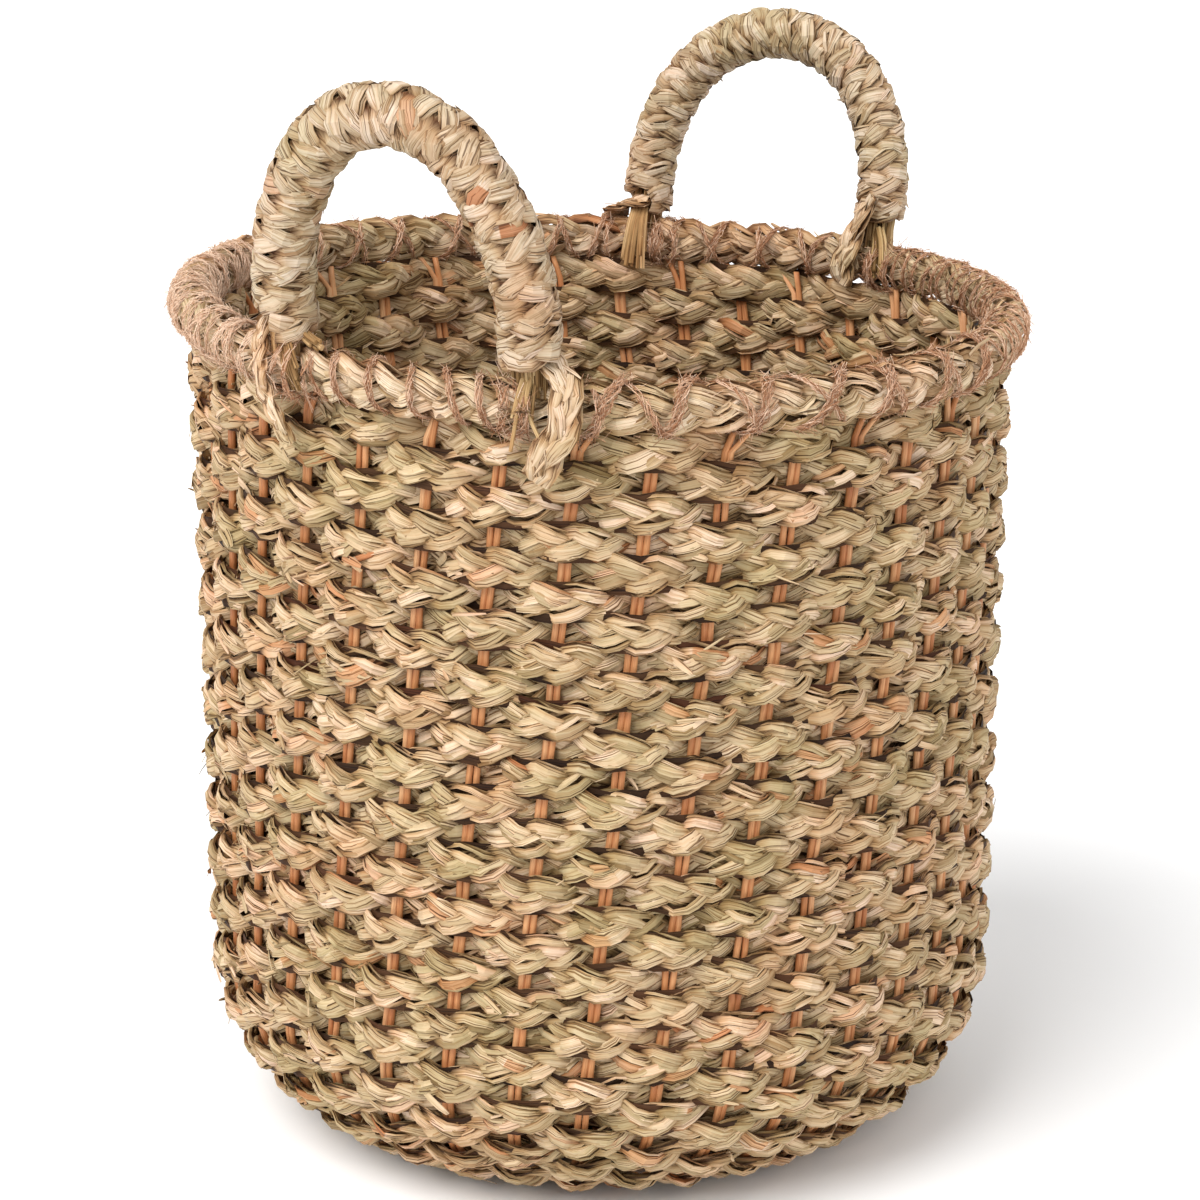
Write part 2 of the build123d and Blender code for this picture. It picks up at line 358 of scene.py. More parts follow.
def grass_material(name, palette, shade, fibre_depth=0.5, roughness=(0.5, 0.8), lines=0.85):
    """Dry grass: a tone for each leaf, patches and streaks of other tones, long fibres, dark
    creases that are partly painted shade, and painted shade where leaves lie deep, whose colour is shade.
    lines is how strong fibres and creases are."""
    n = Nodes(name)
    place = n.add("TexCoord").outputs["Object"]
    tone = n.ramp(n.attribute("tone"), palette)
    patches = n.noise(place, (24, 24, 24), 2.0)
    patch_tint = n.ramp(patches, [(0.36, (232, 236, 214)), (0.52, WHITE), (0.68, (255, 232, 218))])
    tone = n.multiply(0.6, tone, patch_tint)
    streaks = n.noise(n.fibre, (0.05, 0.8, 1.0), 3.0)
    streak_tint = n.ramp(streaks, [(0.30, (212, 200, 172)), (0.5, (255, 253, 248)), (0.72, (255, 238, 224))])
    tone = n.multiply(0.8, tone, streak_tint)
    fibres = n.noise(n.fibre, (0.035, 1.9, 1.0), 4.0, 0.7)
    fine = n.ramp(fibres, [(0.32, (168, 144, 114)), (0.47, (244, 238, 230)), (0.60, WHITE)])
    tone = n.multiply(lines, tone, fine)
    # Dark crease lines: partly the leaves' own dark lines, partly painted shade in the creases, which the
    # bump below also draws.
    folds = n.noise(n.fibre, (0.028, 1.9, 1.0), 2.0, 0.5)
    creases = n.ramp(folds, [(0.365, (90, 60, 34)), (0.41, (210, 190, 164)), (0.45, WHITE)])
    tone = n.multiply(lines, tone, creases)
    # Painted shade: the depth attribute darkens a leaf towards the shade colour where it lies deep in the
    # plait.
    deep = n.ramp(n.attribute("depth"), [(0.0, WHITE), (0.45, (232, 216, 196)), (1.0, shade)])
    n.link(n.multiply(1.0, tone, deep), n.shader.inputs["Base Color"])
    n.rough(fibres, roughness[1], roughness[0])
    n.shader.inputs["Specular IOR Level"].default_value = 0.16
    n.bump(n.multiply(0.7, fibres, creases), fibre_depth, 0.3 * MM)
    return n.material


def cane_material():
    """Peeled rattan core: salmon orange with a fine straight grain."""
    n = Nodes("rattan_cane")
    tone = n.ramp(n.attribute("tone"), CANE_PALETTE)
    grain = n.noise(n.fibre, (0.03, 3.2, 1.0), 4.0, 0.7)
    lines = n.ramp(grain, [(0.32, (184, 132, 92)), (0.5, (244, 232, 222)), (0.66, WHITE)])
    tone = n.multiply(0.75, tone, lines)
    stains = n.noise(n.fibre, (0.05, 0.2, 1.0), 2.0)
    stain_tint = n.ramp(stains, [(0.3, (205, 160, 128)), (0.6, WHITE)])
    n.link(n.multiply(0.6, tone, stain_tint), n.shader.inputs["Base Color"])
    n.rough(grain, 0.72, 0.5)
    n.bump(grain, 0.4, 0.2 * MM)
    return n.material


def twine_material():
    """Jute: reddish tan, matt, mottled."""
    n = Nodes("jute_twine")
    tone = n.ramp(n.attribute("tone"), TWINE_PALETTE)
    strands = n.noise(n.fibre, (0.25, 3.0, 1.0), 4.0, 0.7)
    lines = n.ramp(strands, [(0.32, (196, 168, 148)), (0.6, WHITE)])
    n.link(n.multiply(0.7, tone, lines), n.shader.inputs["Base Color"])
    n.rough(strands, 0.95, 0.8)
    n.shader.inputs["Specular IOR Level"].default_value = 0.2
    n.bump(strands, 0.5, 0.2 * MM)
    return n.material


WALL_PALETTE = [
    (0.00, (132, 113, 82)),
    (0.18, (170, 151, 119)),
    (0.42, (192, 174, 143)),
    (0.64, (207, 187, 159)),
    (0.78, (218, 196, 172)),
    (0.86, (224, 203, 184)),
    (0.91, (203, 164, 129)),
    (1.00, (180, 122, 82)),
]
RIM_PALETTE = [
    (0.00, (163, 137, 107)),
    (0.20, (192, 169, 139)),
    (0.50, (210, 190, 165)),
    (0.75, (219, 201, 180)),
    (0.92, (226, 209, 192)),
    (0.97, (200, 157, 122)),
    (1.00, (177, 114, 77)),
]
HANDLE_PALETTE = [
    (0.00, (154, 131, 105)),
    (0.20, (181, 162, 137)),
    (0.50, (198, 183, 162)),
    (0.75, (207, 193, 176)),
    (0.92, (214, 200, 187)),
    (0.97, (189, 151, 120)),
    (1.00, (167, 110, 76)),
]
CORE_PALETTE = [
    (0.00, (116, 88, 54)),
    (0.50, (176, 146, 104)),
    (1.00, (214, 190, 150)),
]
CANE_PALETTE = [(0.0, (194, 132, 80)), (0.5, (214, 156, 104)), (1.0, (230, 184, 136))]
TWINE_PALETTE = [(0.0, (142, 94, 62)), (0.4, (196, 148, 112)), (1.0, (250, 222, 196))]
seagrass = grass_material("seagrass_plait", WALL_PALETTE, (72, 42, 16), 0.6)
rim_grass = grass_material("rim_seagrass", RIM_PALETTE, (112, 78, 48))
handle_grass = grass_material("handle_plait", HANDLE_PALETTE, (104, 66, 34), 0.4, (0.42, 0.7), 0.8)
core_grass = grass_material("grass_core", CORE_PALETTE, (70, 48, 24))
cane = cane_material()
twine = twine_material()


# Plaits


class Shape:
    """The cross-section of a plait, and how its leaves are drawn. wide is how far neighbouring
    leaves overlap, and rough how unevenly they lie."""

    def __init__(self, spread, width, height, lift, period, leaves, wide, rough, fold):
        self.spread = spread * MM
        self.width = width * MM
        self.height = height * MM
        self.lift = lift * MM
        self.period = period * MM
        self.leaves = leaves
        self.wide = wide
        self.rough = rough * MM
        self.fold = fold


WALL_PLAIT = Shape(4.3, 3.8, 1.75, 1.5, 45, 7, 1.35, 0.55, 0.96)
TOP_PLAIT = Shape(4.3, 3.9, 1.9, 1.5, 52, 5, 1.4, 1.1, 0.94)
RIM_PLAIT = Shape(4.9, 4.9, 3.9, 3.0, 50, 9, 1.3, 0.9, 0.9)
HANDLE_PLAIT = Shape(3.6, 3.3, 0.95, 1.0, 44, 5, 1.35, 0.35, 0.95)
TAIL_PLAIT = Shape(3.5, 3.1, 1.1, 1.1, 36, 5, 1.4, 0.5, 0.92)
SLIM_TAIL = Shape(2.0, 2.1, 1.0, 0.9, 34, 4, 1.4, 0.5, 0.92)

# How far a leaf wanders sideways and up, as shares of how rough its plait is
SIDE_WANDER = 0.25
HEIGHT_WANDER = 0.22
LEAF_LENGTH = 70 * MM
LEAF_THICKNESS = 0.35 * MM
# How far a leaf's free edge stands above the leaf that it overlaps, as a share of the strand
SHINGLE = 0.13
# The two shape numbers of the beta distribution that leaves take their tones from
TONE_SPREAD = (2.5, 2.2)
# How near a plait's middle plane a leaf starts to darken with painted shade, as a share of the plait's
# thickness, and how much painted shade darkens its tucked edge, between leaves
PAINTED_SHADE_REACH = 0.7
TUCKED_EDGE_SHADE = 0.45
# Leaves differ in their place round the strand, as a share of the step between them, and in
# their place along it, their width and how high their creases and themselves stand
PLACE_JITTER = 0.3
PHASE_JITTER = 0.10
LEAF_WIDTHS = (0.75, 1.35)
CREASE = 0.09
STAND = 0.10
# Ripples along a leaf: the size and the wavelength of its turning and of its width, the size of
# its drift along the strand, and the wavelengths of its wandering sideways and up
TURN_RIPPLE = (0.18, 26 * MM)
WIDTH_RIPPLE = (0.2, 18 * MM)
PHASE_RIPPLE = 0.07
SIDE_WAVE = 14 * MM
HEIGHT_WAVE = 11 * MM
# A leaf's end: how long it is, how much narrower, and how far it stands up
END_LENGTH = 4 * MM
END_NARROW = 0.5
END_STAND = 0.25
# The leaves inside a plait: their distance from its middle as a share of its spread, their half
# thickness, and how far painted shade darkens them
INNER_PLACE = 1.42
INNER_THICKNESS = 0.3 * MM
INNER_PAINTED_SHADE = 0.97
# Loose ends: their lengths, greatest rise and width, half thickness and how much painted shade darkens them
LOOSE_LENGTHS = (5, 14)
LOOSE_RISE = 3.4 * MM
LOOSE_WIDTH = 3.6 * MM
LOOSE_THICKNESS = 0.15 * MM
LOOSE_PAINTED_SHADE = 0.1
# The corners of a flat strip's cross-section
DIAMOND = ((1, 0), (0, 1), (-1, 0), (0, -1))


def leaf_tones(rng, rows, turns, length):
    """Tone along each leaf, which changes where one leaf ends and the next begins, and how
    near each place is to such an end."""
    leaves = max(2, int(length / LEAF_LENGTH))
    tones = rng.beta(*TONE_SPREAD, (rows, leaves))
    place = (turns[None] * leaves + rng.uniform(0, leaves, (rows, 1))) % leaves
    index = np.minimum(place.astype(int), leaves - 1)
    tone = np.take_along_axis(tones, index, 1)
    end = np.minimum(place - index, 1 - (place - index)) * (length / leaves)
    return tone, np.clip(1 - end / END_LENGTH, 0, 1)


def plait(weave, surface, length, shape, rng, closed=True, rows=4):
    """Three strands of leaves laid over a surface, which turns a distance along, a distance
    across and a height into a point. Each leaf is a thin curved strip of a strand's skin."""
    periods = max(1, round(length / shape.period))
    count = periods * SAMPLES
    turns = np.arange(count) / count if closed else np.linspace(0, 1, count + 1)
    leaves = 3 * shape.leaves
    strand = np.repeat(np.arange(3), shape.leaves)[:, None]
    step = TURN / shape.leaves
    jitter = rng.uniform(-PLACE_JITTER, PLACE_JITTER, (leaves, 1))
    around = step * (np.tile(np.arange(shape.leaves), 3)[:, None] + jitter)
    around = around + TURN_RIPPLE[0] * ripple(rng, leaves, turns, length / TURN_RIPPLE[1])
    phase = TURN * (periods * turns[None] + strand / 3) + rng.normal(0, PHASE_JITTER, (leaves, 1))
    phase = phase + PHASE_RIPPLE * ripple(rng, leaves, turns, periods * 2)
    bend = math.asin(shape.fold)
    centre = shape.spread * np.arcsin(shape.fold * np.sin(phase)) / bend
    slope = shape.spread * shape.fold * np.cos(phase) / bend
    slope = slope / np.sqrt(1 - (shape.fold * np.sin(phase)) ** 2) * TURN * periods / length
    lift = -shape.lift * np.sin(2 * phase)
    norm = np.sqrt(1 + slope**2)
    wander = SIDE_WANDER * shape.rough * ripple(rng, leaves, turns, length / SIDE_WAVE)
    rise = HEIGHT_WANDER * shape.rough * ripple(rng, leaves, turns, length / HEIGHT_WAVE)
    tone, leaf_end = leaf_tones(rng, leaves, turns, length)
    half = step / 2 * shape.wide * rng.uniform(*LEAF_WIDTHS, (leaves, 1))
    half = half * (1 + WIDTH_RIPPLE[0] * ripple(rng, leaves, turns, length / WIDTH_RIPPLE[1]))
    half = half * (1 - END_NARROW * leaf_end)
    crease = rng.uniform(-CREASE, CREASE, (leaves, 1))
    stand = rng.uniform(0.0, STAND, (leaves, 1)) + END_STAND * leaf_end
    thin = LEAF_THICKNESS / math.sqrt(shape.width * shape.height)
    edges = ((-1.0, -SHINGLE), (-0.35, crease), (0.4, -crease), (1.0, SHINGLE), (0.1, -2 * thin))
    rings = np.zeros((leaves, len(turns), len(edges), 3))
    depth = np.zeros((leaves, len(turns), len(edges)))
    distance = turns[None] * length
    for k, (place, raised) in enumerate(edges):
        theta = around + half * place
        reach = 1 + stand + raised
        o = shape.width * np.cos(theta) * reach + wander
        h = lift + shape.height * np.sin(theta) * reach + rise
        along = distance - slope / norm * o
        across = centre + o / norm
        rings[:, :, k] = surface(along, across, h)
        # Painted shade: leaves darken near the plait's middle plane, where they lie deep, and along their
        # tucked edge, between leaves.
        edge = np.abs(h) / (shape.lift + shape.height)
        tucked = TUCKED_EDGE_SHADE if place == -1.0 else 0.0
        depth[:, :, k] = np.clip(np.clip(1 - edge / PAINTED_SHADE_REACH, 0, 1) ** 1.3 + tucked, 0, 1)
    weave.add(rings, distance, tone, depth, closed, rows)


def inner_leaves(weave, surface, length, shape, rng):
    """Two leaves that run inside a closed plait, along its edges. Their colour is almost all painted
    shade, and they stand for the shade between its lobes."""
    count = 2 * max(1, round(length / shape.period)) * SAMPLES // 3
    turns = np.arange(count) / count
    distance = turns[None] * length
    edge = np.array([[-1.0], [1.0]])
    middle = edge * shape.spread * INNER_PLACE + 0.4 * MM * ripple(rng, 2, turns, length / (12 * MM))
    lift = 0.35 * shape.lift * ripple(rng, 2, turns, length / (15 * MM))
    rings = np.zeros((2, count, 4, 3))
    for k, (side, out) in enumerate(DIAMOND):
        across = middle + side * 0.5 * shape.width
        rings[:, :, k] = surface(distance, across, lift + out * INNER_THICKNESS)
    weave.add(rings, distance, rng.uniform(0, 1.0, 2), INNER_PAINTED_SHADE, True, 2)


def loose_ends(weave, surface, start, shape, rng, reach=1.0):
    """Leaf ends and broken straws that stand off a plait at distances along it, on both its
    faces."""
    count = len(start)
    start = np.asarray(start)[:, None]
    heading = rng.choice([-1, 1], (count, 1)) * rng.uniform(0.1, 0.9, (count, 1))
    size = rng.uniform(*LOOSE_LENGTHS, (count, 1)) * MM * reach
    face = rng.choice([-1, 1, 1], (count, 1))
    steps = np.linspace(0, 1, 5)[None]
    across = rng.uniform(-1, 1, (count, 1)) * shape.spread * 1.2
    across = across + heading * size * steps * 0.6
    along = start + size * steps * np.cos(heading)
    top = (shape.lift + shape.height) * 0.72
    height = face * (top + steps**2 * rng.uniform(0, 1.0, (count, 1)) ** 2 * LOOSE_RISE * reach)
    width = rng.uniform(0.3, 1.0, (count, 1)) ** 2 * LOOSE_WIDTH * (1 - 0.55 * steps**4)
    rings = np.zeros((count, 5, 4, 3))
    for k, (side, out) in enumerate(DIAMOND):
        rings[:, :, k] = surface(
            along - width / 2 * side * np.sin(heading),
            across + width / 2 * side * np.cos(heading),
            height + LOOSE_THICKNESS * out * face,
        )
    weave.add(rings, size * steps, rng.beta(*TONE_SPREAD, count), LOOSE_PAINTED_SHADE)


# How far a course strays up and down, in a few waves round it
COURSE_STRAY = 0.28 * MM
COURSE_WAVES = (3, 5, 11)


def course_surface(radius, height, turn, swing, first_angle, parity, crossings, rng, length):
    """A closed course that passes outside one cane and inside the next. turn is 0 on the
    wall, where outside means away from the axis, and a quarter turn on the base, where it means
    down."""
    out_r, out_z = math.cos(turn), -math.sin(turn)
    phases = rng.uniform(0, TURN, len(COURSE_WAVES))
    sign = 1 if parity % 2 == 0 else -1

    def surface(along, across, lift):
        angle = TURN * along / length
        wave = crossings / 2 * (angle - first_angle)
        push = sign * swing * np.cos(wave)
        tilt = -sign * swing * crossings / 2 * np.sin(wave) / (radius + 2 * swing)
        norm = np.sqrt(1 + tilt**2)
        stray = sum(COURSE_STRAY * np.sin(f * angle + p) for f, p in zip(COURSE_WAVES, phases))
        r = radius + push * out_r
        z = height + push * out_z
        out = radial(angle) * out_r + UP * out_z
        wide = radial(angle) * -out_z + UP * out_r
        normal = (out - tangential(angle) * tilt[..., None]) / norm[..., None]
        point = radial(angle) * np.asarray(r)[..., None] + UP * np.asarray(z)[..., None]
        return point + normal * lift[..., None] + wide * (across + stray)[..., None]

    return surface


# Leaf ends on a course: how many there are for each metre, and how many more on its ragged
# stretch, an angle and a half width in degrees
ENDS_PER_METRE = 26
RAGGED_ENDS = 34
RAGGED_ANGLE = -48
RAGGED_SPREAD = 26


def course(
    name, radius, height, turn, swing, first_angle, parity, crossings, seed, shape=WALL_PLAIT, ragged=1.0
):
    """One woven course, which stands for the frame's node of the same name."""
    rng = np.random.default_rng(seed)
    length = TURN * (radius + 0.4 * swing)
    surface = course_surface(radius, height, turn, swing, first_angle, parity, crossings, rng, length)
    weave = Weave()
    plait(weave, surface, length, shape, rng)
    inner_leaves(weave, surface, length, shape, rng)
    even = rng.uniform(0, length, int(length * ENDS_PER_METRE))
    count = int(RAGGED_ENDS * ragged * radius / SHELL_RADIUS)
    uneven = length / 360 * rng.normal(RAGGED_ANGLE, RAGGED_SPREAD, count)
    loose_ends(weave, surface, even, shape, rng)
    loose_ends(weave, surface, uneven, shape, rng, 0.9 + 0.2 * ragged)
    return piece(name, weave, seagrass, "seagrass_plait", "basket", name)


# The top course is drawn up against the rim, and the top rows have the most leaf ends
TOP_COURSE_LIFT = 1.2 * MM
TOP_ROWS = 4
wall_names = sorted(n for n in frame["nodes"] if n.startswith("wall_course_"))
for index, name in enumerate(wall_names):
    height = box_centre(name).z
    radius = math.hypot(SHELL_RADIUS, STAKE_SLOPE * (height - BEND_HEIGHT))
    first = FOOT_ANGLE + stake_drift(height)
    top = index == len(wall_names) - 1
    shape = TOP_PLAIT if top else WALL_PLAIT
    height = height + (TOP_COURSE_LIFT if top else 0)
    ragged = 1.0 + max(0, index - len(wall_names) + TOP_ROWS) / TOP_ROWS
    course(name, radius, height, 0.0, WEAVE_SWING, first, index, STAKE_COUNT, 100 + index, shape, ragged)

lean = STAKE_SLOPE / math.hypot(1, STAKE_SLOPE)
for index in range(CORNER_COURSES):
    turn = TURN / 4 * (index + 0.5) / CORNER_COURSES
    name = f"corner_course_{CORNER_COURSES - index:02d}"
    radius = BEND_REACH + CORNER_RADIUS * math.cos(turn)
    height = BEND_HEIGHT - CORNER_RADIUS * math.sin(turn)
    first = FOOT_ANGLE - math.atan(lean * CORNER_RADIUS * math.sin(turn) / radius)
    course(name, radius, height, turn, WEAVE_SWING, first, index + 1, STAKE_COUNT, 200 + index)

spoke_skew = math.atan(STAKE_SLOPE * CORNER_RADIUS / SPOKE_END)
spoke_first = FOOT_ANGLE + STAKE_STEP / 2 - spoke_skew
BASE_SWING = 4.2 * MM
base_names = sorted(n for n in frame["nodes"] if n.startswith("base_course_"))
for index, name in enumerate(base_names):
    low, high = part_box(name)
    radius = high.x - (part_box("base_course_01")[1].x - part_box("base_centre_knot")[1].x) / 2
    swing = 0.0 if radius < SPOKE_START else BASE_SWING
    height = BASE_HEIGHT if swing == 0.0 else CANE_HEIGHT
    outer = index == len(base_names) - 1
    crossings = STAKE_COUNT if outer else SPOKE_COUNT
    first = FOOT_ANGLE - math.atan(lean * CORNER_RADIUS / radius) if outer else spoke_first
    course(name, radius, height, TURN / 4, swing, first, index, crossings, 300 + index)

# Canes


def tube(weave, centres, side, out, half_side, half_out, tone, corners=8):
    """Tubes along lines of points. side and out are unit vectors across the line."""
    strips, count = centres.shape[:2]
    rings = np.zeros((strips, count, corners, 3))
    for k in range(corners):
        a = TURN * (k + 0.5) / corners
        rings[:, :, k] = centres + side * half_side * math.cos(a) + out * half_out * math.sin(a)
    steps = np.linalg.norm(np.diff(centres, axis=1), axis=-1)
    along = np.concatenate([np.zeros((strips, 1)), np.cumsum(steps, 1)], 1)
    weave.add(rings, along, tone, 0.0)


CANE_HALF_WIDTH = 1.34 * MM
CANE_HALF_DEPTH = 1.25 * MM
CANE_APART = 2.5 * MM
# How far the tips of a pair's left and right canes lean apart, in millimetres
CANE_SPLAY = {-1: (-4.0, 2.0), 1: (1.0, 9.0)}

rng = np.random.default_rng(11)
stakes = Weave()
heights = np.linspace(BEND_HEIGHT, STAKE_TOP + 3 * MM, 54)
angles = FOOT_ANGLE + STAKE_STEP * np.arange(STAKE_COUNT)[:, None]
outward = radial(angles)
along_wall = tangential(angles)
climb = unit(UP + along_wall * STAKE_SLOPE)
bends = np.linspace(TURN / 4, 0, 14)[None, :, None]
foot = outward * BEND_REACH + UP * BEND_HEIGHT
arc = foot + CORNER_RADIUS * (outward * np.cos(bends) - climb * np.sin(bends))
tail = arc[:, :1] - outward * (BEND_REACH - STAKE_START)
rise = (heights[1:] - BEND_HEIGHT)[None, :, None]
straight = outward * SHELL_RADIUS + UP * BEND_HEIGHT + climb / climb[..., 2:] * rise
for side in (-1, 1):
    line = np.concatenate([tail, arc, straight], 1)
    count = line.shape[1]
    share = np.clip((line[..., 2] - TOP_HEIGHT) / (STAKE_TOP - TOP_HEIGHT), 0, 1)
    splay = rng.uniform(*CANE_SPLAY[side], (STAKE_COUNT, 1)) * MM * share**1.8
    shift = side * (CANE_APART / 2) + side * splay
    shift = shift + 0.25 * MM * ripple(rng, STAKE_COUNT, np.linspace(0, 1, count), 9)
    centres = line + along_wall * shift[..., None]
    across = np.broadcast_to(along_wall, centres.shape)
    out = unit(np.cross(across, unit(np.gradient(centres, axis=1))))
    tube(stakes, centres, across, out, CANE_HALF_WIDTH, CANE_HALF_DEPTH, rng.uniform(0, 1, STAKE_COUNT))
piece("side_stakes", stakes, cane, "rattan_cane", "basket", "side_stakes", crisp=False)

spokes = Weave()
angles = spoke_first + TURN / SPOKE_COUNT * np.arange(SPOKE_COUNT)[:, None]
outward = radial(angles)
reach = np.linspace(SPOKE_START, SPOKE_END, 12)[None, :, None]
for side in (-1, 1):
    centres = outward * reach + UP * CANE_HEIGHT + tangential(angles) * (side * CANE_APART / 2)
    across = np.broadcast_to(tangential(angles), centres.shape)
    tube(spokes, centres, across, UP, CANE_HALF_WIDTH, CANE_HALF_DEPTH, rng.uniform(0, 1, SPOKE_COUNT))
piece("base_spokes", spokes, cane, "rattan_cane", "basket", "base_spokes", crisp=False)


# Rim


def rim_point(angle, out=0.0, up=0.0):
    """Points by the rim's middle line, at distances out from it and above it."""
    level = radial(angle) * np.asarray(RIM_REACH + out)[..., None]
    return level + UP * np.asarray(RIM_HEIGHT + up)[..., None]


def rim_surface(along, across, lift):
    """The rim's own plait: across runs up, and lift away from the axis."""
    return rim_point(along / RIM_REACH, lift, across)


rng = np.random.default_rng(21)
rim = Weave()
rim_length = TURN * RIM_REACH
plait(rim, rim_surface, rim_length, RIM_PLAIT, rng)
loose_ends(rim, rim_surface, rng.uniform(0, rim_length, 80), RIM_PLAIT, rng)
piece("rim_braid", rim, rim_grass, "rim_seagrass", "basket", "rim_braid")


# Jute: fine fibres gathered into twine


def smooth_line(points, count):
    """A smooth line through a few points, as evenly spaced steps from point to point."""
    p = np.asarray(points, float)
    p = np.concatenate([2 * p[:1] - p[1:2], p, 2 * p[-1:] - p[-2:-1]])
    place = np.linspace(0, len(points) - 1, count)
    i = np.minimum(place.astype(int), len(points) - 2)
    f = (place - i)[:, None]
    a, b, c, d = p[i], p[i + 1], p[i + 2], p[i + 3]
    return 0.5 * (2 * b + (c - a) * f + (2 * a - 5 * b + 4 * c - d) * f**2 + (3 * b - a - 3 * c + d) * f**3)


def travel_of(line):
    return np.concatenate([[0], np.cumsum(np.linalg.norm(np.diff(line, axis=0), axis=-1))])


def across_line(line, hint):
    """Unit vectors along a line, outward from it near hint, and across both."""
    step = unit(np.gradient(line, axis=0))
    out = unit(hint - step * (hint * step).sum(-1, keepdims=True))
    return step, out, np.cross(out, step)


def read_line(place, travel, values):
    """Values along a line at other places."""
    return np.stack([np.interp(place, travel, values[:, c]) for c in range(3)], -1)


class Guide:
    """A line that pieces follow, with directions outward from it near hint and across both."""

    def __init__(self, line, hint):
        self.travel = travel_of(line)
        self.length = self.travel[-1]
        _, out, wide = across_line(line, hint)
        self.values = line, out, wide

    def at(self, place):
        """The point, the outward direction and the one across, at distances along the line."""
        return [read_line(place, self.travel, values) for values in self.values]


# A jute fibre's usual length and how much it differs, the step between its rings, its radius,
# and how far its stray ends lie off the band, up and sideways
FIBRE_LENGTH = 16 * MM
FIBRE_LENGTHS = (0.6, 1.25)
FIBRE_STEP = 2.6 * MM
FIBRE_RADIUS = 0.15 * MM
STRAY_RISE = (2, 9)
STRAY_ASIDE = (-6, 6)


def jute(weave, line, hint, rng, width, count, stray, spin, pale=0.0):
    """A loose band of jute fibres along a line. width is how wide the band lies, count how many
    fibres lie side by side, stray how far their ends stand off, spin how far they turn round
    each other over a millimetre, and pale how much lighter they are."""
    guide = Guide(line, hint)
    total = max(2, int(count * guide.length / FIBRE_LENGTH))
    steps = int(FIBRE_LENGTH / FIBRE_STEP)
    t = np.linspace(0, 1, steps + 1)[None]
    size = FIBRE_LENGTH * rng.uniform(*FIBRE_LENGTHS, (total, 1))
    start = rng.uniform(-0.5 * FIBRE_LENGTH, guide.length - 0.5 * FIBRE_LENGTH, (total, 1))
    place = np.clip(start + size * t, 0, guide.length)
    turn = rng.uniform(0, TURN, (total, 1)) + spin * place / MM
    reach = np.sqrt(rng.uniform(0, 1, (total, 1)))
    side = width / 2 * reach * np.cos(turn) + 0.14 * width * ripple(rng, total, t[0], 3, 2)
    pile = width * (0.18 + 0.2 * reach * np.sin(turn)) + 0.05 * width * ripple(rng, total, t[0], 3, 2)
    loose = np.abs(2 * t - 1) ** 6 * rng.uniform(0, 1, (total, 1)) ** 2 * stray
    pile = pile + loose * rng.uniform(*STRAY_RISE, (total, 1)) * MM
    side = side + loose * rng.uniform(*STRAY_ASIDE, (total, 1)) * MM
    centre, out, wide = guide.at(place)
    centres = centre + wide * side[..., None] + out * pile[..., None]
    # Fibres that lie deep in the band get painted shade, and those piled on top are painted lighter.
    tone = np.clip(rng.beta(1.5, 1.5, total) + 0.25 * (pile.mean(1) / width - 0.3) + pale, 0, 1)
    tube(weave, centres, wide, out, FIBRE_RADIUS, FIBRE_RADIUS, tone, 3)


def fuzz(weave, line, hint, rng, count, longest, radius):
    """Fine curled hairs that stand off a run of twine."""
    step, out, wide = across_line(line, hint)
    pick = rng.integers(0, len(line), count)
    turn = rng.uniform(0, TURN, (count, 1))
    away = out[pick] * np.abs(np.cos(turn)) + wide[pick] * np.sin(turn)
    flow = step[pick] * rng.uniform(-1, 1, (count, 1)) + wide[pick] * rng.uniform(-1, 1, (count, 1))
    size = rng.uniform(0.25, 1.0, (count, 1, 1)) ** 1.5 * longest
    t = np.linspace(0, 1, 6)[None, :, None]
    curl = rng.normal(0, 0.35, (count, 1, 3))
    centres = line[pick][:, None] + away[:, None] * size * 0.35 * t * (1.4 - t)
    centres = centres + flow[:, None] * size * t * 0.75 + curl * size * t**2 * 0.6
    side = np.broadcast_to(step[pick][:, None], centres.shape)
    other = np.broadcast_to(out[pick][:, None], centres.shape)
    tube(weave, centres, side, other, radius, radius, rng.uniform(0.3, 1.0, count), 3)


def rim_wind(first, last, pitch, rng, reach, wobble, start_turn=0.0):
    """A line wound round the rim from one angle to another, in degrees. A negative pitch winds
    the other way. Also gives the outward directions along it."""
    distance = math.radians(last - first) * RIM_REACH
    turns = distance / abs(pitch)
    count = int(turns * 28)
    t = np.linspace(0, 1, count)
    uneven = ripple(rng, 3, t, max(4, turns))
    turn = TURN * (turns * t + start_turn) + 0.35 * uneven[0]
    turn = turn * math.copysign(1, pitch)
    angle = math.radians(first) + (distance * t + wobble * uneven[1]) / RIM_REACH
    hint = radial(angle) * np.cos(turn)[:, None] * 0.92 + UP * np.sin(turn)[:, None]
    return rim_point(angle) + hint * (reach + 0.3 * MM * uneven[2])[:, None], hint


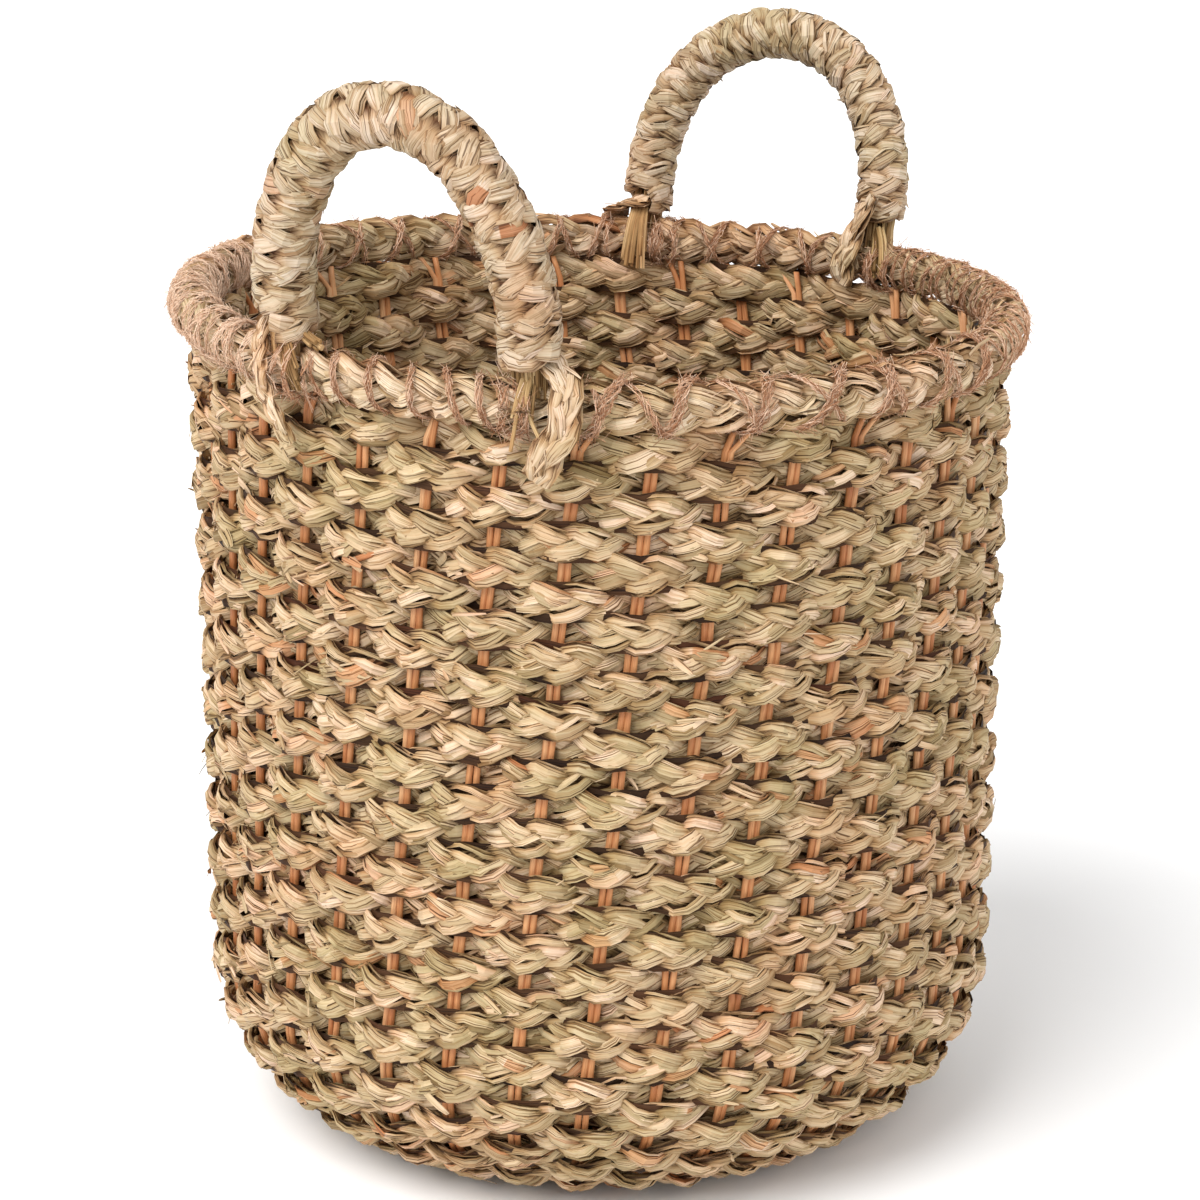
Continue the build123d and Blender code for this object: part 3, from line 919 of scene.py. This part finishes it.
# Rim lacing. Each run has its first and last angle in degrees, the pitch of its turns, the
# width of the twine, its fibres side by side, and how far they stray: thick fuzzy turns at the
# basket's two ends, single turns between the front feet, and crossed stitches elsewhere.
LACING = [
    (-100, -22, 10.5, 4.4, 15, 0.45),
    (-100, -22, -19.0, 3.6, 12, 0.5),
    (-13, 16, -14.5, 3.0, 22, 0.35),
    (23, 92, 28.0, 4.8, 34, 0.6),
    (27, 92, -33.0, 2.8, 17, 0.4),
    (92, 155, 7.5, 2.4, 13, 0.4),
    (166, 197, 26.0, 2.8, 18, 0.35),
    (166, 197, -24.0, 2.4, 15, 0.35),
    (206, 262, 24.0, 3.0, 18, 0.4),
    (206, 258, -27.0, 2.6, 15, 0.4),
]
LEFT_END = (-100, -22)
LEFT_END_PALE = 0.42
LEFT_END_WOBBLE = 3.2 * MM
TWINE_REACH = RIM_RADIUS + 0.6 * MM
LACING_HAIR_RADIUS = 0.1 * MM
lacing = Weave()
rng = np.random.default_rng(31)
for first, last, pitch, width, fibres, stray in LACING:
    left = first == LEFT_END[0]
    wobble = LEFT_END_WOBBLE if left else 1.4 * MM
    line, hint = rim_wind(first, last, pitch * MM, rng, TWINE_REACH, wobble, rng.uniform(0, 1))
    pale = LEFT_END_PALE if left else 0.0
    jute(lacing, line, hint, rng, width * MM, fibres, stray=stray, spin=0.25, pale=pale)
for first, last, count, longest in ((*LEFT_END, 450, 8), (88, 155, 700, 5), (23, 88, 500, 7)):
    line, hint = rim_wind(first, last, 4 * MM, rng, TWINE_REACH + 0.8 * MM, 1 * MM)
    fuzz(lacing, line, hint, rng, count, longest * MM, LACING_HAIR_RADIUS)
piece("rim_twine_lacing", lacing, twine, "jute_twine", "basket", "rim_twine_lacing", crisp=False)


# Handles


class Arch:
    """A handle's centre line, from one foot over the crown to the other."""

    def __init__(self, side):
        wrap_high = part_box(f"{side}_handle_plait_wrap")[1]
        core_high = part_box(f"{side}_handle_grass_core")[1]
        joint = next(j for j in frame["joints"] if j["name"] == f"{side}_handle_tilt")
        pivot = np.array(joint["pos_m"])
        axis = np.array(joint["axis"])
        out = np.array([axis[1], -axis[0], 0.0])
        lean = HANDLE_LEAN[side]
        up = UP * math.cos(lean) + out * math.sin(lean)
        self.normal = np.cross(axis, up)
        self.radius = CORE_RADIUS + wrap_high.z - core_high.z
        half_span = math.sqrt(RIM_REACH**2 - pivot[0] ** 2 - pivot[1] ** 2)
        rise = (wrap_high.z - pivot[2] - self.radius) / math.cos(lean)
        side_radius = HANDLE_SIDE_RADIUS[side]
        run = side_radius - half_span
        climb = rise - HANDLE_LEG_RISE
        crown = (run**2 + climb**2 - side_radius**2) / (2 * (climb - side_radius))
        corner = math.atan2(climb - crown, run)
        first = math.pi - np.linspace(0, corner, 40)
        left_x = run + side_radius * np.cos(first)
        left = np.stack([left_x, HANDLE_LEG_RISE + side_radius * np.sin(first)], -1)
        middle = math.pi - np.linspace(corner, math.pi - corner, 41)[1:-1]
        top = np.stack([crown * np.cos(middle), rise - crown + crown * np.sin(middle)], -1)
        right = left[::-1] * (-1, 1)
        flat = np.concatenate([[(-half_span, 0.0)], left, top, right, [(half_span, 0.0)]])
        self.points = pivot + flat[:, :1] * axis + flat[:, 1:] * up
        self.travel = travel_of(flat)
        self.length = self.travel[-1]
        self.flow = np.gradient(self.points, self.travel, axis=0)

    def at(self, along):
        """Centre and in-plane outward vector at distances from the first pivot."""
        flow = unit(read_line(along, self.travel, self.flow))
        return read_line(along, self.travel, self.points), np.cross(flow, self.normal)


WRAP_PITCH = 11.4 * MM
WRAP_FOOT = 12.0 * MM
arches = {side: Arch(side) for side in ("front", "back")}


def wrap_surface(arch, middle):
    """A plait's place on the wound sleeve of a handle, whose mid-surface has radius middle."""
    ring = TURN * middle
    winding = math.hypot(ring, WRAP_PITCH)

    def surface(along, across, lift):
        axial = WRAP_FOOT + WRAP_PITCH / 2 + (along * WRAP_PITCH + across * ring) / winding
        turn = TURN * along / winding - across * WRAP_PITCH / (winding * middle)
        centre, rise = arch.at(axial)
        out = arch.normal * np.cos(turn)[..., None] + rise * np.sin(turn)[..., None]
        return centre + out * (middle + lift)[..., None]

    return surface, winding


# The straws of a handle's core: how many, the share of it that they fill, how far they twist
# from end to end, and their size
CORE_STRAWS = 46
CORE_FILL = 0.9
CORE_TWIST = 1.2
STRAW_HALF_WIDTH = 1.1 * MM
STRAW_HALF_DEPTH = 0.8 * MM

cores = {"front": Weave(), "back": Weave()}
for seed, side in enumerate(cores):
    rng = np.random.default_rng(41 + seed)
    arch = arches[side]
    middle = arch.radius - HANDLE_PLAIT.lift - HANDLE_PLAIT.height * 0.9
    surface, winding = wrap_surface(arch, middle)
    turns = (arch.length - 2 * WRAP_FOOT) / WRAP_PITCH - 1
    wrap = Weave()
    plait(wrap, surface, turns * winding, HANDLE_PLAIT, rng, closed=False, rows=7)
    loose_ends(wrap, surface, rng.uniform(0, turns * winding, 30), HANDLE_PLAIT, rng, 0.7)
    name = f"{side}_handle_plait_wrap"
    piece(name, wrap, handle_grass, "handle_plait", f"{side}_handle", name)

    core = cores[side]
    spread = np.sqrt(rng.uniform(0, 1, (CORE_STRAWS, 1))) * CORE_FILL
    turn = rng.uniform(0, TURN, (CORE_STRAWS, 1))
    ends = rng.uniform(2.5, 9, (2, CORE_STRAWS, 1)) * MM
    t = np.linspace(0, 1, 44)[None]
    centre, rise = arch.at(WRAP_FOOT - ends[0] + t * (arch.length - 2 * WRAP_FOOT + ends[0] + ends[1]))
    spread = CORE_RADIUS * spread * (1 + 0.05 * ripple(rng, CORE_STRAWS, t[0], 9))
    turn = turn + CORE_TWIST * t
    centres = centre + arch.normal * (spread * np.cos(turn))[..., None]
    centres = centres + rise * (spread * np.sin(turn))[..., None]
    plane = np.broadcast_to(arch.normal, centres.shape)
    tone = rng.uniform(0, 1, CORE_STRAWS)
    tube(core, centres, plane, rise, STRAW_HALF_WIDTH, STRAW_HALF_DEPTH, tone, 5)


# Handle feet: a tail of plait from each foot over the rim, cut ends of the core, and lashings


def foot_point(angle, points):
    """Points near a handle's foot, from offsets along, out from and above the rim's middle."""
    p = np.asarray(points, float) * MM
    return rim_point(angle + p[:, 0] / RIM_REACH, p[:, 1], p[:, 2])


def line_surface(line, hint):
    """A plait's place along a line, with its face towards hint."""
    guide = Guide(line, hint)

    def surface(along, across, lift):
        centre, out, wide = guide.at(along)
        return centre + wide * across[..., None] + out * lift[..., None]

    return surface, guide.length


def stems(weave, angle, route, rng, count, spread, deep, cut, thick, facing):
    """Cut ends of grass that run together along a route and fan out a little."""
    line = smooth_line(foot_point(angle, route), 15)
    guide = Guide(line, radial(np.full(len(line), angle)) * facing)
    t = np.linspace(0, 1, len(line))
    place = t[None] * guide.length * rng.uniform(1 - cut, 1, (count, 1))
    fan = rng.uniform(-1, 1, (count, 1)) * (0.55 + 0.45 * t[None]) * spread * MM
    pile = rng.uniform(-0.6, 1, (count, 1)) * deep * MM
    centre, out, wide = guide.at(place)
    centres = centre + wide * fan[..., None] + out * pile[..., None]
    width = thick * MM * rng.uniform(0.8, 1.2, (count, 1, 1))
    tone = rng.uniform(0.1, 0.9, count)
    tube(weave, centres, wide, out, width, width * 0.75, tone, 6)


# Each foot's plait, and where its tail and its cut stems run: offsets along the rim, out from it
# and above it, in millimetres. The stems also have a count, a spread, a depth, a share cut short
# and a thickness.
FEET = {
    "front_left": (
        SLIM_TAIL,
        [
            (-6, 3, 19), (-7, 8, 12), (-5, 11.5, 4), (-2, 13, -5),
            (2, 12.5, -14), (6, 11, -22), (9, 9, -27),
        ],
        [
            ([(0, 1, 16), (8, 2, 14.5), (16, 4, 12.5), (21, 5, 11.5)], 10, 3.2, 1.6, 0.35, 1.05),
            ([(0, 3, 15), (7, 8, 8), (12, 10.5, 1), (16, 11, -6)], 12, 4.2, 1.5, 0.35, 1.05),
        ],
    ),
    "front_right": (
        TAIL_PLAIT,
        [
            (5, 1, 19), (10, 5, 14), (13, 9.5, 7), (12.5, 13, -2),
            (9, 13.5, -11), (5, 12, -19), (2, 10.5, -26),
        ],
        [
            ([(0, 2, 16), (-1, 6, 10), (-2, 9.5, 3), (-3, 10.5, -4)], 12, 4.0, 1.2, 0.3, 0.9),
            ([(-3, 8, 8), (-4, 12, -2), (-6, 13, -15)], 1, 0.2, 0.4, 0.0, 0.8),
            ([(-2, 9, 2), (3, 12.5, -8), (6, 13, -13)], 1, 0.2, 0.4, 0.0, 0.8),
        ],
    ),
    "back_left": (
        TAIL_PLAIT,
        [
            (-4, -3, 19), (6, -2, 17), (13, 3, 12), (13, 9, 5),
            (10, 12.5, -4), (7, 12, -13), (5, 10, -21),
        ],
        [
            ([(1, -3, 15), (2, -8, 9), (3, -11, 0), (4, -11.5, -11)], 22, 5.0, 1.4, 0.3, 1.1),
        ],
    ),
    "back_right": (
        TAIL_PLAIT,
        [
            (-2, -3, 31), (1, -6, 23), (4, -9, 14),
            (6, -12, 6), (8, -13, -2), (9, -12, -8),
        ],
        [
            ([(-3, -1, 15), (-7, -4, 10), (-10, -7.5, 3), (-12, -9.5, -5)], 18, 4.5, 1.6, 0.4, 1.1),
        ],
    ),
}
# Turns of jute beside each foot: its place along the rim, slant, width, and how far it bulges
# outward over the stems, in millimetres
LASHINGS = {
    "front_left": [(-10, 3, 3.0, 0), (-6, -2, 2.6, 1), (1, 4, 3.0, 5), (5, 7, 2.8, 5), (13, 3, 2.4, 0)],
    "front_right": [(-13, 4, 4.5, 0), (-8, 6, 5.0, 1), (-3, 2, 2.6, 2), (17, -3, 3.4, 0), (21, 3, 2.6, 0)],
    "back_left": [(-13, 3, 2.6, 0), (-9, -4, 4.0, 2), (-5, 3, 4.4, 3), (9, 3, 3.0, 2), (14, -3, 2.4, 0)],
    "back_right": [(-14, 3, 3.6, 0), (-10, -3, 4.0, 0), (-5, 2, 3.2, 0), (0, 4, 2.4, 0), (16, 3, 2.4, 0)],
}
# How far the handle's foot presses a lashing into the rim
LASHING_SINK = 2.8
LASHING_HAIR_RADIUS = 0.07 * MM


def blend_at_foot(made, side, angle):
    """Bakes a piece's place into its mesh."""
    base = foot_point(angle, [(0, 0, 0)])[0]
    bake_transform(made)


foot_angles = {}
for side, arch in arches.items():
    for name, sign in (("right", 1), ("left", -1)):
        x, y, _ = arch.points[-1 if (sign > 0) == (side == "front") else 0]
        foot_angles[f"{side}_{name}"] = math.atan2(x, -y)

for seed, (name, (shape, route, bundles)) in enumerate(FEET.items()):
    rng = np.random.default_rng(51 + seed)
    side = name.split("_")[0]
    angle = foot_angles[name]
    line = smooth_line(foot_point(angle, route), 60)
    place = np.arctan2(line[:, 0], -line[:, 1])
    hint = line - rim_point(place)
    hint[:, 2] = np.maximum(hint[:, 2], 0)
    surface, length = line_surface(line, unit(hint))
    tail = Weave()
    plait(tail, surface, length, shape, rng, closed=False, rows=1)
    loose_ends(tail, surface, rng.uniform(0, length, 10), shape, rng)
    for route, count, spread, deep, cut, thick in bundles:
        stems(cores[side], angle, route, rng, count, spread, deep, cut, thick, -1 if side == "back" else 1)
    made = piece(f"{name}_foot_binding", tail, rim_grass, "seagrass_plait", None, f"{name}_foot_binding")
    blend_at_foot(made, side, angle)

    lashing = Weave()
    for shift, slant, width, bulge in LASHINGS[name]:
        turn = np.linspace(0, TURN, 50)
        place = angle + (shift + slant * np.cos(turn)) * MM / RIM_REACH
        hint = radial(place) * np.cos(turn)[:, None] + UP * np.sin(turn)[:, None]
        bulging = bulge * np.maximum(np.cos(turn - 0.25), 0) - LASHING_SINK * np.maximum(np.sin(turn), 0)
        reach = TWINE_REACH + (rng.uniform(0.2, 1.4) + bulging[:, None]) * MM
        loop = rim_point(place) + hint * reach
        jute(lashing, loop, hint, rng, width * MM, 5 * width, stray=0.8, spin=0.2)
        fuzz(lashing, loop, hint, rng, 50, 9 * MM, LASHING_HAIR_RADIUS)
    name = f"{name}_foot_lashing"
    piece(name, lashing, twine, "jute_twine", "basket", name, crisp=False)

for side, core in cores.items():
    name = f"{side}_handle_grass_core"
    made = piece(name, core, core_grass, "grass_core", None, name)
    blend_at_foot(made, side, foot_angles[f"{side}_left"])


# Base centre: a small coil of plait that the first course starts from


COIL_TURNS = 1.6
COIL_START = 1.2 * MM
coil_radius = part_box("base_centre_knot")[1].x - WALL_PLAIT.spread
rng = np.random.default_rng(61)
t = np.linspace(0, 1, 60)
turn = TURN * COIL_TURNS * t
reach = COIL_START + (coil_radius - COIL_START) * t
coil = radial(turn) * reach[:, None] + UP * BASE_HEIGHT
surface, length = line_surface(coil, np.broadcast_to(-UP, coil.shape))
knot = Weave()
plait(knot, surface, length, TAIL_PLAIT, rng, closed=False, rows=1)
piece("base_centre_knot", knot, seagrass, "seagrass_plait", "basket", "base_centre_knot")


# Camera, light and floor

CAMERA_AZIMUTH = math.radians(28.0)
CAMERA_DISTANCE = 1.4206
CAMERA_HEIGHT = 0.644
CAMERA_PITCH = math.radians(16.67)
CAMERA_LENS = 105.8
SENSOR_WIDTH = 36.0

lens = bpy.data.cameras.new("camera")
lens.lens = CAMERA_LENS
lens.sensor_width = SENSOR_WIDTH
camera = placed("camera", lens)
camera.location = (
    CAMERA_DISTANCE * math.sin(CAMERA_AZIMUTH),
    -CAMERA_DISTANCE * math.cos(CAMERA_AZIMUTH),
    CAMERA_HEIGHT,
)
camera.rotation_euler = Euler((math.pi / 2 - CAMERA_PITCH, 0, CAMERA_AZIMUTH))
bpy.context.scene.camera = camera
bpy.context.scene.view_settings.view_transform = "Standard"


def soft_sun(name, azimuth, elevation, width, strength):
    """A soft light from far away. width is how many degrees of the sky it fills."""
    data = bpy.data.lights.new(name, "SUN")
    data.angle = math.radians(width)
    data.energy = strength
    turn = Euler((math.pi / 2 - math.radians(elevation), 0, math.radians(azimuth)))
    placed(name, data).rotation_euler = turn


soft_sun("key_light", -18, 48, 46, 3.15)
soft_sun("fill_light", 60, 35, 50, 0.8)

# The sky gives less light than the white that the camera sees behind the floor
SKY_LIGHT = 0.7
world = bpy.data.worlds.new("studio")
world.use_nodes = True
sky = world.node_tree
background = sky.nodes["Background"]
background.inputs["Color"].default_value = srgb(*WHITE)
rays = sky.nodes.new("ShaderNodeLightPath")
strength = sky.nodes.new("ShaderNodeMapRange")
strength.inputs["To Min"].default_value = SKY_LIGHT
sky.links.new(rays.outputs["Is Camera Ray"], strength.inputs["Value"])
sky.links.new(strength.outputs["Result"], background.inputs["Strength"])
bpy.context.scene.world = world

FLOOR_SIZE = 16.0
FLOOR_COLOUR = (246, 246, 246)
floor_mesh = bpy.data.meshes.new("floor")
half = FLOOR_SIZE / 2
floor_corners = [(-half, -half, 0), (half, -half, 0), (half, half, 0), (-half, half, 0)]
floor_mesh.from_pydata(floor_corners, [], [(0, 1, 2, 3)])
floor_paint = bpy.data.materials.new("floor")
floor_paint.use_nodes = True
floor_shader = floor_paint.node_tree.nodes["Principled BSDF"]
floor_shader.inputs["Base Color"].default_value = srgb(*FLOOR_COLOUR)
floor_shader.inputs["Roughness"].default_value = 0.9
floor_mesh.materials.append(floor_paint)
placed("floor", floor_mesh)
